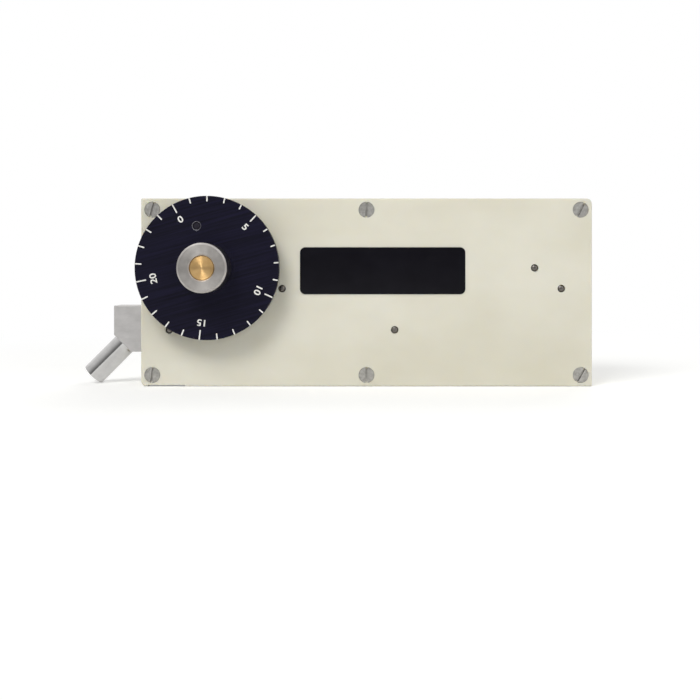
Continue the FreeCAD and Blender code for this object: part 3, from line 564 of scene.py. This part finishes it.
def grid_faces(rows: int, columns: int, loop: bool = False) -> np.ndarray:
    """Quads of a grid whose columns close on themselves.

    Args:
        rows: Rows of points.
        columns: Points in a row.
        loop: Whether the last row joins the first one too.

    Returns:
        Four point numbers for each quad.
    """
    row, column = np.meshgrid(np.arange(rows if loop else rows - 1), np.arange(columns), indexing="ij")
    below, beside = (row + 1) % rows, (column + 1) % columns
    across = np.stack([row, row, below, below], axis=-1) * columns
    along = np.stack([column, beside, beside, column], axis=-1)
    return (across + along).reshape(-1, 4)


def closed_mesh(name: str, points: np.ndarray, faces: list[list[int]]) -> Mesh:
    """Smooth mesh of closed forms whose faces look outwards.

    Args:
        name: Name of the mesh.
        points: Points in metres, with the coordinates last.
        faces: Point numbers of each face.

    Returns:
        The new mesh.
    """
    mesh = bpy.data.meshes.new(name)
    mesh.from_pydata(points.reshape(-1, 3).tolist(), [], faces)
    shell = bmesh.new()
    shell.from_mesh(mesh)
    bmesh.ops.recalc_face_normals(shell, faces=shell.faces)
    shell.to_mesh(mesh)
    shell.free()
    mesh.polygons.foreach_set("use_smooth", np.ones(len(mesh.polygons), dtype=bool))
    return mesh


def tubes_mesh(name: str, tubes: np.ndarray) -> Mesh:
    """Mesh of tubes that a flat cap closes at both ends.

    Args:
        name: Name of the mesh.
        tubes: Points in metres, as tubes by rings by points by coordinates.

    Returns:
        The new mesh.
    """
    count, rings, points = tubes.shape[:3]
    first = np.arange(count)[:, None, None] * rings * points
    quads = (grid_faces(rings, points) + first).reshape(-1, 4)
    ends = np.arange(points) + np.array([[0], [rings - 1]]) * points
    caps = (ends + first).reshape(-1, points)
    return closed_mesh(name, tubes, quads.tolist() + caps.tolist())


@dataclass(frozen=True)
class Bend:
    """Span of a piece between its own body and another.

    Attributes:
        body: Body at the far end of the span; not used.
        start: End of the span on the side of its own body, in metres; not used.
        end: End of the span on the side of the other body, in metres; not used.
    """

    body: Body
    start: Triple
    end: Triple


@dataclass
class SubAssembly:
    """Pieces of the tester that move as one body.

    Attributes:
        finishes: Materials by surface.
    """

    body: ClassVar[Body]
    surfaces: ClassVar[dict[Surface, tuple[str, ...]]]
    finishes: dict[Surface, Material]

    def build(self) -> None:
        """Add pieces that the solids don't have, which are none here."""

    def dress(self) -> None:
        """Give each solid of the body its finish."""
        for surface, nodes in self.surfaces.items():
            for node in nodes:
                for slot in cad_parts[node].material_slots:
                    slot.material = self.finishes[surface]
                LOG.info("%s: %s in %s", self.body.value, node, self.finishes[surface].name)

    def add(
        self, mesh: Mesh, surface: Surface, slot: Slot, bend: Bend | None = None
    ) -> bpy.types.Object:
        """Put a new piece on the body, or leave it off any body in world space if it has a bend.

        Args:
            mesh: Mesh of the piece, already in place.
            surface: Its surface.
            slot: Its slot in the record; not used.
            bend: Span towards another body, if it has one, which keeps the piece off its own body.

        Returns:
            The new object.
        """
        mesh.materials.clear()
        mesh.materials.append(self.finishes[surface])
        piece = bpy.data.objects.new(mesh.name, mesh)
        bpy.context.scene.collection.objects.link(piece)
        if bend is None:
            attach(piece, self.body.value)
        else:
            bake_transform(piece)
        LOG.info("%s: new piece %s with %d faces", self.body.value, mesh.name, len(mesh.polygons))
        return piece


@dataclass
class Case(SubAssembly):
    """Case of plates, rails and walls, with its screws, pins, bushes, balance spring and bare label.

    Attributes:
        label_corner: Radius of the label's corners.
        label_roll: Radius of its rolled edge.
        label_bow: How far its middle stands off the case.
        corner_points: Points around one corner.
        roll_rings: Rings up the rolled edge.
        inner_rings: Rings from the edge to the middle.
        leg_bend: Span of the balance spring's leg towards the arm.
    """

    body: ClassVar[Body] = Body.CASE
    surfaces: ClassVar[dict[Surface, tuple[str, ...]]] = {
        Surface.CASE: ("front_plate", "rear_plate", "top_rail", "bottom_rail", "left_wall", "right_wall"),
        Surface.SCREW: ("front_screws", "rear_screws"),
        Surface.STEEL: (
            "follower_pivot_pin",
            "arm_stop_pin",
            "arm_pivot_pin",
            "balance_spring_pin",
            "balance_anchor_pin",
            "fixed_stop_pin",
        ),
        Surface.BRONZE: ("front_bush", "rear_bush", "spring_spacers"),
        Surface.FIBRE: ("friction_washer",),
        Surface.SPRING: ("balance_spring",),
        Surface.LABEL: ("label",),
    }
    label_corner: float = 2.8 * MM
    label_roll: float = 0.25 * MM
    label_bow: float = 0.12 * MM
    corner_points: int = 16
    roll_rings: int = 6
    inner_rings: int = 12
    leg_bend: Bend = Bend(Body.ARM, (86 * MM, 0, 62 * MM), (75.5 * MM, 0, 45 * MM))

    def label_mesh(self) -> Mesh:
        """Label with rounded corners, a rolled edge and a slight bow.

        A ring is a rectangle whose corners are swept by quarter circles. Up the rolled edge, at a turn t
        from 0 to 90 degrees, the ring shrinks by 1 - cos t and rises by sin t of the roll. Rings inside the
        edge shrink to the middle, and the bow lifts a point by 1 - u^2, where u is its share of the half
        length.

        Returns:
            Mesh of the label on the case's front.
        """
        low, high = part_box("label")
        centre = middle("label")
        half = np.array([high.x - low.x, high.z - low.z]) / 2
        thickness = high.y - low.y
        count = 4 * self.corner_points
        turn = (np.arange(count) + 0.5) * math.tau / count
        circle = np.stack([np.cos(turn), np.sin(turn)], axis=-1)
        corners = np.sign(circle) * (half - self.label_corner)
        roll = np.linspace(0, math.pi / 2, self.roll_rings)
        shrink = np.concatenate([[0], self.label_roll * (1 - np.cos(roll))])
        rise = np.concatenate([[0], thickness - self.label_roll * (1 - np.sin(roll))])
        edge = corners + circle * (self.label_corner - shrink)[:, None, None]
        inner = edge[-1] * np.linspace(1, 0, self.inner_rings, endpoint=False)[1:, None, None]
        flat = np.concatenate([edge, inner])
        rise = np.concatenate([rise, np.full(len(inner), thickness)])[:, None]
        bow = self.label_bow * (rise / thickness) * (1 - (flat[..., 0] / half[0]) ** 2)
        points = np.stack([centre.x + flat[..., 0], high.y - rise - bow, centre.z + flat[..., 1]], axis=-1)
        return tubes_mesh("label_film", points[None])

    def build(self) -> None:
        """Put the label's film and a copy of the balance spring in the place of the plain ones."""
        film = self.add(self.label_mesh(), Surface.LABEL, Slot.LABEL)
        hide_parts("label")
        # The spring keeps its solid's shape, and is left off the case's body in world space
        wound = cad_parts["balance_spring"].data.copy()
        wound.name = "balance_coil"
        spring = self.add(wound, Surface.SPRING, Slot.SPRING, self.leg_bend)
        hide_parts("balance_spring")


@dataclass
class DialUnit(SubAssembly):
    """Dial with its scale, hub, shaft and load cam.

    The scale was cut a little off the dial's axis, as the photograph shows: its lines are longer at the left.

    Attributes:
        divisions: Lines of the scale.
        numbered_every: Lines from one number to the next.
        zero_turn: Direction of the zero line, from +X towards +Z.
        scale_shift: The scale's centre from the dial's axis, along X and Z.
        minor_start: Distance of a short line's inner end from the scale's centre.
        major_start: The same for a numbered line.
        line_width: Width of a line.
        paint: How far the paint stands above the face, and reaches into it.
        dial_edge: Bevel around the dial's rim.
        numeral_radius: Distance of a number's middle from the scale's centre.
        numeral_height: Height of a digit.
        numeral_stretch: Width of a digit against the font's own.
        numeral_bold: How far a digit's outline is moved outwards.
        digit_share: Height of the font's digits as a share of its size.
        bevel: Width of the worn bevel around the pin's hole.
        bevel_lining: Thickness of that bevel's metal.
        end_rings: Rings in a line's rounded end.
        first_end_ring: Place of the first of them, before squaring.
        edge_stations: Rings over the dial's rim, as shares of its bevel.
        line_points: Points around a line.
        bevel_points: Points around the pin's hole.
        centre: Middle of the dial's face.
        rim: Radius of the dial.
    """

    body: ClassVar[Body] = Body.DIAL
    surfaces: ClassVar[dict[Surface, tuple[str, ...]]] = {
        Surface.DIAL: ("dial_disc",),
        Surface.HUB: ("dial_hub",),
        Surface.SHAFT: ("dial_shaft",),
        Surface.SCREW: ("hub_screws",),
        Surface.BLACK_STEEL: ("hub_set_screw", "dial_stop_pin"),
        Surface.STEEL: ("load_cam", "cam_pin"),
    }
    divisions: int = 25
    numbered_every: int = 5
    zero_turn: float = math.radians(119.3)
    scale_shift: Pair = (0.5 * MM, 0.15 * MM)
    minor_start: float = 34.4 * MM
    major_start: float = 32.5 * MM
    line_width: float = 0.72 * MM
    paint: float = 0.05 * MM
    dial_edge: float = 0.4 * MM
    numeral_radius: float = 28.8 * MM
    numeral_height: float = 3.35 * MM
    numeral_stretch: float = 1.15
    numeral_bold: float = 0.09 * MM
    digit_share: float = 0.7
    bevel: float = 0.4 * MM
    bevel_lining: float = 0.03 * MM
    end_rings: int = 6
    first_end_ring: float = 0.02
    edge_stations: Triple = (1.0, 0.5, 0.05)
    line_points: int = 12
    bevel_points: int = 64
    centre: Vector = field(init=False)
    rim: float = field(init=False)

    def __post_init__(self) -> None:
        """Take the dial's front centre and radius from its solid."""
        low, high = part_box("dial_disc")
        self.centre = Vector(((low.x + high.x) / 2, low.y, (low.z + high.z) / 2))
        self.rim = (high.x - low.x) / 2

    def line_rings(self, turn: float, start: float) -> np.ndarray:
        """Rings of one scale line, from its rounded inner end over the bevel to the rim.

        The line runs along the ray from the scale's centre c in the direction d. It meets a circle of
        radius R about the dial's axis at -c.d + sqrt(R^2 - |c|^2 + (c.d)^2). Its section is a flat oval, and
        a share s of the way into the rounded end, its width is sqrt(1 - (1 - s)^2) of the full one.

        Args:
            turn: Direction of the line, from +X towards +Z.
            start: Distance of its inner end from the scale's centre.

        Returns:
            Array of rings by points by three coordinates.
        """
        way = np.array([math.cos(turn), math.sin(turn)])
        shift = np.array(self.scale_shift)
        along = float(shift @ way)
        circles = self.rim - self.dial_edge * np.array(self.edge_stations)
        reach = -along + np.sqrt(circles ** 2 - shift @ shift + along ** 2)
        share = np.linspace(self.first_end_ring, 1, self.end_rings) ** 2
        stations = np.concatenate([start + share * self.line_width / 2, reach])
        width = np.concatenate([np.sqrt(1 - (1 - share) ** 2), np.ones(len(reach))]) * self.line_width / 2
        drop = np.concatenate([np.zeros(len(share)), circles[0] - circles])
        oval = np.arange(self.line_points) * math.tau / self.line_points
        side = width[:, None] * np.cos(oval)
        depth = drop[:, None] - self.paint * np.sin(oval)
        x = self.centre.x + shift[0] + stations[:, None] * way[0] + side * way[1]
        z = self.centre.z + shift[1] + stations[:, None] * way[1] - side * way[0]
        return np.stack([x, self.centre.y + depth, z], axis=-1)

    def mark_turn(self, mark: int) -> float:
        """Direction of a mark of the scale, which counts clockwise."""
        return self.zero_turn - mark * math.tau / self.divisions

    def lines_mesh(self) -> Mesh:
        """All lines of the scale.

        Returns:
            Mesh of one closed form for each line.
        """
        marks = np.arange(self.divisions)
        starts = np.where(marks % self.numbered_every, self.minor_start, self.major_start)
        lines = [self.line_rings(self.mark_turn(mark), start) for mark, start in zip(marks, starts)]
        return tubes_mesh("scale_lines", np.array(lines))

    def numeral_mesh(self, number: int) -> Mesh:
        """One number of the scale, with its top towards the rim.

        Args:
            number: Number to write.

        Returns:
            Mesh of the number on the dial's face.
        """
        text = bpy.data.curves.new(f"numeral_{number}", "FONT")
        text.body = str(number)
        text.size = self.numeral_height / self.digit_share
        text.offset = self.numeral_bold
        text.extrude = self.paint
        writing = bpy.data.objects.new(text.name, text)
        bpy.context.scene.collection.objects.link(writing)
        mesh = bpy.data.meshes.new_from_object(writing.evaluated_get(bpy.context.evaluated_depsgraph_get()))
        bpy.data.objects.remove(writing)
        bpy.data.curves.remove(text)
        mesh.name = f"numeral_{number}"
        points = np.empty(3 * len(mesh.vertices))
        mesh.vertices.foreach_get("co", points)
        points = points.reshape(-1, 3)
        to_centre = Matrix.Translation(-Vector((points.min(axis=0) + points.max(axis=0)) / 2))
        turn = self.mark_turn(number)
        outward = Vector((math.cos(turn), 0, math.sin(turn)))
        across = Vector((math.sin(turn), 0, -math.cos(turn)))
        shift = Vector((self.scale_shift[0], 0, self.scale_shift[1]))
        axes = Matrix((across * self.numeral_stretch, outward, Vector((0, -1, 0)))).transposed().to_4x4()
        spot = Matrix.Translation(self.centre + shift + outward * self.numeral_radius)
        mesh.transform(spot @ axes @ to_centre)
        return mesh

    def bevel_mesh(self) -> Mesh:
        """Worn bevel around the pin's hole.

        A sloping strip of four corners is turned about the pin's axis.

        Returns:
            Mesh of the ring.
        """
        low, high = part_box("dial_stop_pin")
        axis = middle("dial_stop_pin")
        hole = (high.x - low.x) / 2
        lining = self.bevel_lining
        radius = np.array([hole, hole + self.bevel, hole + self.bevel - lining, hole - lining])
        depth = np.array([self.bevel, 0, -lining, self.bevel - lining])
        turn = np.arange(self.bevel_points) * math.tau / self.bevel_points
        x = axis.x + radius[:, None] * np.cos(turn)
        z = axis.z + radius[:, None] * np.sin(turn)
        y = np.broadcast_to(self.centre.y + depth[:, None], x.shape)
        faces = grid_faces(*x.shape, loop=True).tolist()
        return closed_mesh("pin_hole_bevel", np.stack([x, y, z], axis=-1), faces)

    def build(self) -> None:
        """Add the scale and the bevel of the pin's hole."""
        self.add(self.lines_mesh(), Surface.SCALE, Slot.SCALE)
        for number in range(0, self.divisions, self.numbered_every):
            self.add(self.numeral_mesh(number), Surface.SCALE, Slot.SCALE)
        self.add(self.bevel_mesh(), Surface.WORN_BEVEL, Slot.DIAL)


@dataclass
class Follower(SubAssembly):
    """Follower between the load cam and the load spring."""

    body: ClassVar[Body] = Body.FOLLOWER
    surfaces: ClassVar[dict[Surface, tuple[str, ...]]] = {
        Surface.STEEL: ("follower_arm", "follower_pin"),
        Surface.BRONZE: ("follower_bush",),
    }


@dataclass
class ToolArm(SubAssembly):
    """Arm with the scratch tool and the load spring.

    Attributes:
        coil_turns: Turns of the load spring.
        coil_outer: Its outside diameter.
        coil_wire: Diameter of its wire.
        coil_room: Room above it at rest, in which the arm can lift.
        coil_keep: Share of its length that is left at full load; not used.
        turn_points: Rings of the wire in a turn.
        wire_points: Points around the wire.
    """

    body: ClassVar[Body] = Body.ARM
    surfaces: ClassVar[dict[Surface, tuple[str, ...]]] = {
        Surface.ARM: ("tool_arm",),
        Surface.BRONZE: ("arm_bush",),
        Surface.TOOL: ("scratch_tool",),
        Surface.BLACK_STEEL: ("tool_set_screw",),
        Surface.SPRING: ("load_spring",),
    }
    coil_turns: int = 6
    coil_outer: float = 10.5 * MM
    coil_wire: float = 0.9 * MM
    coil_room: float = 1.8 * MM
    coil_keep: float = 0.7
    turn_points: int = 36
    wire_points: int = 12

    def coil_mesh(self) -> Mesh:
        """Load spring as a round wire carried along a helix with a closed turn at each end.

        At a turn t the wire's centre is (R cos t, R sin t, h). The height h rises by one wire in the first
        and the last turn, and evenly between them. Each ring of the wire lies in a plane through the
        spring's axis.

        Returns:
            Mesh of the spring, which leaves the arm room to lift below the follower.
        """
        low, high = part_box("load_spring")
        stud = middle("follower_pin")
        half = self.coil_wire / 2
        rise = high.z - low.z - self.coil_room - self.coil_wire
        turn = np.linspace(0, self.coil_turns, self.coil_turns * self.turn_points + 1)[:, None]
        steps = [0, 1, self.coil_turns - 1, self.coil_turns]
        height = np.interp(turn, steps, [0, self.coil_wire, rise - self.coil_wire, rise])
        section = np.arange(self.wire_points) * math.tau / self.wire_points
        reach = self.coil_outer / 2 - half + half * np.cos(section)
        x = stud.x + reach * np.cos(turn * math.tau)
        y = stud.y + reach * np.sin(turn * math.tau)
        z = low.z + half + height + half * np.sin(section)
        return tubes_mesh("load_coil", np.stack([x, y, z], axis=-1)[None])

    def build(self) -> None:
        """Put a wound load spring in the place of the plain one."""
        coil = self.add(self.coil_mesh(), Surface.SPRING, Slot.SPRING)
        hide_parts("load_spring")
        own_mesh(coil)


@dataclass(frozen=True)
class SoftBox:
    """Square lamp that faces the object.

    Attributes:
        name: Name of the lamp.
        place: Its place in metres.
        side: Its side in metres.
        power: Its power in watts.
    """

    name: str
    place: Triple
    side: float
    power: float

    def hang(self, target: Vector) -> None:
        """Put the lamp in the scene.

        Args:
            target: Point that it faces.
        """
        data = bpy.data.lights.new(self.name, "AREA")
        data.size = self.side
        data.energy = self.power
        lamp = bpy.data.objects.new(self.name, data)
        lamp.location = self.place
        lamp.rotation_euler = (target - lamp.location).to_track_quat("-Z", "Y").to_euler()
        bpy.context.scene.collection.objects.link(lamp)


@dataclass
class Studio:
    """Pale floor that fades to white, white surroundings, soft lamps and the camera.

    Attributes:
        lamps: The soft lamps.
        target: Point that they face.
        ambient: Strength of the light from all around.
        room_in_front: Brightness of the room behind the camera, as metal mirrors it.
        backdrop_span: Y of a direction where the room ends and the white backdrop begins.
        ceiling_span: Z of a direction where the room ends and the white ceiling begins.
        paper: Colour of the floor.
        paper_lift: Glow that the camera and mirrors see on the floor.
        floor_drop: How far the floor lies below the tester's foot.
        floor_radius: Radius of the floor.
        first_floor_ring: Place of its innermost ring, before squaring.
        fade_start: Distance at which the floor starts to fade.
        fade_end: Distance at which it is white.
        floor_rings: Rings of the floor.
        floor_points: Points in a ring.
        camera_height: Height of the camera.
        camera_distance: Its distance from the case's middle.
        focal_pixels: Focal length in pixels of the photograph.
        axis_pixel: Pixel that the camera's axis meets.
        sensor_mm: Width of its sensor.
        nearest: Nearest distance that it sees.
    """

    lamps: tuple[SoftBox, ...] = (
        SoftBox("key", (-0.5, -0.95, 1.0), 0.6, 10.0),
        SoftBox("fill", (0.9, -0.9, 0.5), 0.9, 3.5),
        SoftBox("rear", (0.3, 1.0, 0.9), 0.8, 5.0),
    )
    target: Triple = (0, 0, 50 * MM)
    ambient: float = 0.36
    room_in_front: float = 0.2
    backdrop_span: Pair = (-0.3, 0.3)
    ceiling_span: Pair = (0.05, 0.7)
    paper: str = "#F4F4F2"
    paper_lift: float = 0.25
    floor_drop: float = 0.1 * MM
    floor_radius: float = 4.0
    first_floor_ring: float = 0.02
    fade_start: float = 0.18
    fade_end: float = 0.5
    floor_rings: int = 24
    floor_points: int = 96
    camera_height: float = 63.5 * MM
    camera_distance: float = 591 * MM
    focal_pixels: float = 1073
    axis_pixel: Pair = (366.5, 267.0)
    sensor_mm: float = 36
    nearest: float = 10 * MM

    def seen(self, tree: NodeTree) -> NodeSocket:
        """Share that is 1 for what the camera, mirrors and glass see.

        Args:
            tree: Tree that the test joins.

        Returns:
            Socket of the share.
        """
        ray = add_node(tree, "ShaderNodeLightPath").outputs
        mirrored = add_node(
            tree,
            "ShaderNodeMath",
            {"operation": "MAXIMUM"},
            {0: ray["Is Glossy Ray"], 1: ray["Is Transmission Ray"]},
        ).outputs[0]
        return add_node(
            tree, "ShaderNodeMath", {"operation": "MAXIMUM"}, {0: ray["Is Camera Ray"], 1: mirrored}
        ).outputs[0]

    def paper_material(self) -> Material:
        """Matt white paper that turns to plain white away from the object.

        Returns:
            The floor's material.
        """
        made = bpy.data.materials.new("paper_matt")
        made.use_nodes = True
        tree = made.node_tree
        tree.nodes.clear()
        place = add_node(tree, "ShaderNodeTexCoord").outputs["Object"]
        away = add_node(tree, "ShaderNodeVectorMath", {"operation": "LENGTH"}, {0: place}).outputs["Value"]
        fade = add_node(
            tree,
            "ShaderNodeMapRange",
            {"interpolation_type": "SMOOTHSTEP"},
            {"Value": away, "From Min": self.fade_start, "From Max": self.fade_end},
        ).outputs["Result"]
        seen = self.seen(tree)
        lift, share = (
            add_node(tree, "ShaderNodeMath", {"operation": "MULTIPLY"}, {0: seen, 1: factor}).outputs[0]
            for factor in (self.paper_lift, fade)
        )
        matt = add_node(tree, "ShaderNodeBsdfDiffuse", inputs={"Color": linear(self.paper)}).outputs[0]
        glow = add_node(tree, "ShaderNodeEmission", inputs={"Strength": lift}).outputs[0]
        near = add_node(tree, "ShaderNodeAddShader", inputs={0: matt, 1: glow}).outputs[0]
        far = add_node(tree, "ShaderNodeEmission", inputs={"Strength": 1.0}).outputs[0]
        mix = add_node(tree, "ShaderNodeMixShader", inputs={0: share, 1: near, 2: far}).outputs[0]
        add_node(tree, "ShaderNodeOutputMaterial", inputs={"Surface": mix})
        return made

    def floor(self) -> None:
        """Lay the round floor, whose points are r (cos t, sin t), with rings closer near the middle."""
        radius = self.floor_radius * np.linspace(self.first_floor_ring, 1, self.floor_rings)[:, None] ** 2
        turn = np.arange(self.floor_points) * math.tau / self.floor_points
        x, y = radius * np.cos(turn), radius * np.sin(turn)
        points = np.stack([x, y, np.full_like(x, -self.floor_drop)], axis=-1)
        faces = grid_faces(self.floor_rings, self.floor_points)[:, ::-1].tolist()
        faces.append(list(range(self.floor_points)))
        mesh = bpy.data.meshes.new("floor")
        mesh.from_pydata(points.reshape(-1, 3).tolist(), [], faces)
        mesh.materials.append(self.paper_material())
        floor = bpy.data.objects.new("floor", mesh)
        bpy.context.scene.collection.objects.link(floor)

    def surroundings(self) -> None:
        """White backdrop and ceiling, a darker room behind the camera and a dim light from all around."""
        world = bpy.data.worlds.new("studio")
        bpy.context.scene.world = world
        world.use_nodes = True
        tree = world.node_tree
        tree.nodes.clear()
        seen_way = add_node(tree, "ShaderNodeTexCoord").outputs["Generated"]
        way = add_node(tree, "ShaderNodeSeparateXYZ", inputs={0: seen_way}).outputs
        backdrop, ceiling = (
            add_node(
                tree,
                "ShaderNodeMapRange",
                {"interpolation_type": "SMOOTHSTEP"},
                {"Value": way[axis], "From Min": start, "From Max": end, "To Min": self.room_in_front},
            ).outputs["Result"]
            for axis, (start, end) in (("Y", self.backdrop_span), ("Z", self.ceiling_span))
        )
        lit = add_node(tree, "ShaderNodeMath", {"operation": "MAXIMUM"}, {0: backdrop, 1: ceiling}).outputs[0]
        camera = add_node(tree, "ShaderNodeLightPath").outputs["Is Camera Ray"]
        white = add_node(tree, "ShaderNodeMath", {"operation": "MAXIMUM"}, {0: camera, 1: lit}).outputs[0]
        level = add_node(
            tree, "ShaderNodeMix", {"data_type": "FLOAT"}, {0: self.seen(tree), 2: self.ambient, 3: white}
        ).outputs[0]
        light = add_node(tree, "ShaderNodeBackground", inputs={"Color": (1, 1, 1, 1), "Strength": level})
        add_node(tree, "ShaderNodeOutputWorld", inputs={"Surface": light.outputs[0]})

    def camera(self) -> None:
        """Set the camera level with the dial, with its frame shifted as the photograph's is."""
        data = bpy.data.cameras.new("camera")
        data.sensor_width = self.sensor_mm
        data.lens = self.sensor_mm * self.focal_pixels / IMAGE_SIDE
        data.shift_x = 0.5 - self.axis_pixel[0] / IMAGE_SIDE
        data.shift_y = self.axis_pixel[1] / IMAGE_SIDE - 0.5
        data.clip_start = self.nearest
        camera = bpy.data.objects.new("camera", data)
        camera.location = (0, -self.camera_distance, self.camera_height)
        camera.rotation_euler = (math.pi / 2, 0, 0)
        bpy.context.scene.collection.objects.link(camera)
        bpy.context.scene.camera = camera

    def build(self) -> None:
        """Set up the floor, the light and the camera."""
        self.floor()
        self.surroundings()
        for lamp in self.lamps:
            lamp.hang(Vector(self.target))
        self.camera()
        bpy.context.scene.view_settings.view_transform = "Standard"


def main() -> None:
    """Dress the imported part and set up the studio."""
    logging.basicConfig(level=logging.INFO, format="%(message)s")
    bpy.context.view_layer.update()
    finishes = make_finishes()
    for kind in (Case, DialUnit, Follower, ToolArm):
        assembly = kind(finishes)
        assembly.build()
        assembly.dress()
    Studio().build()


if __name__ == "__main__":
    main()
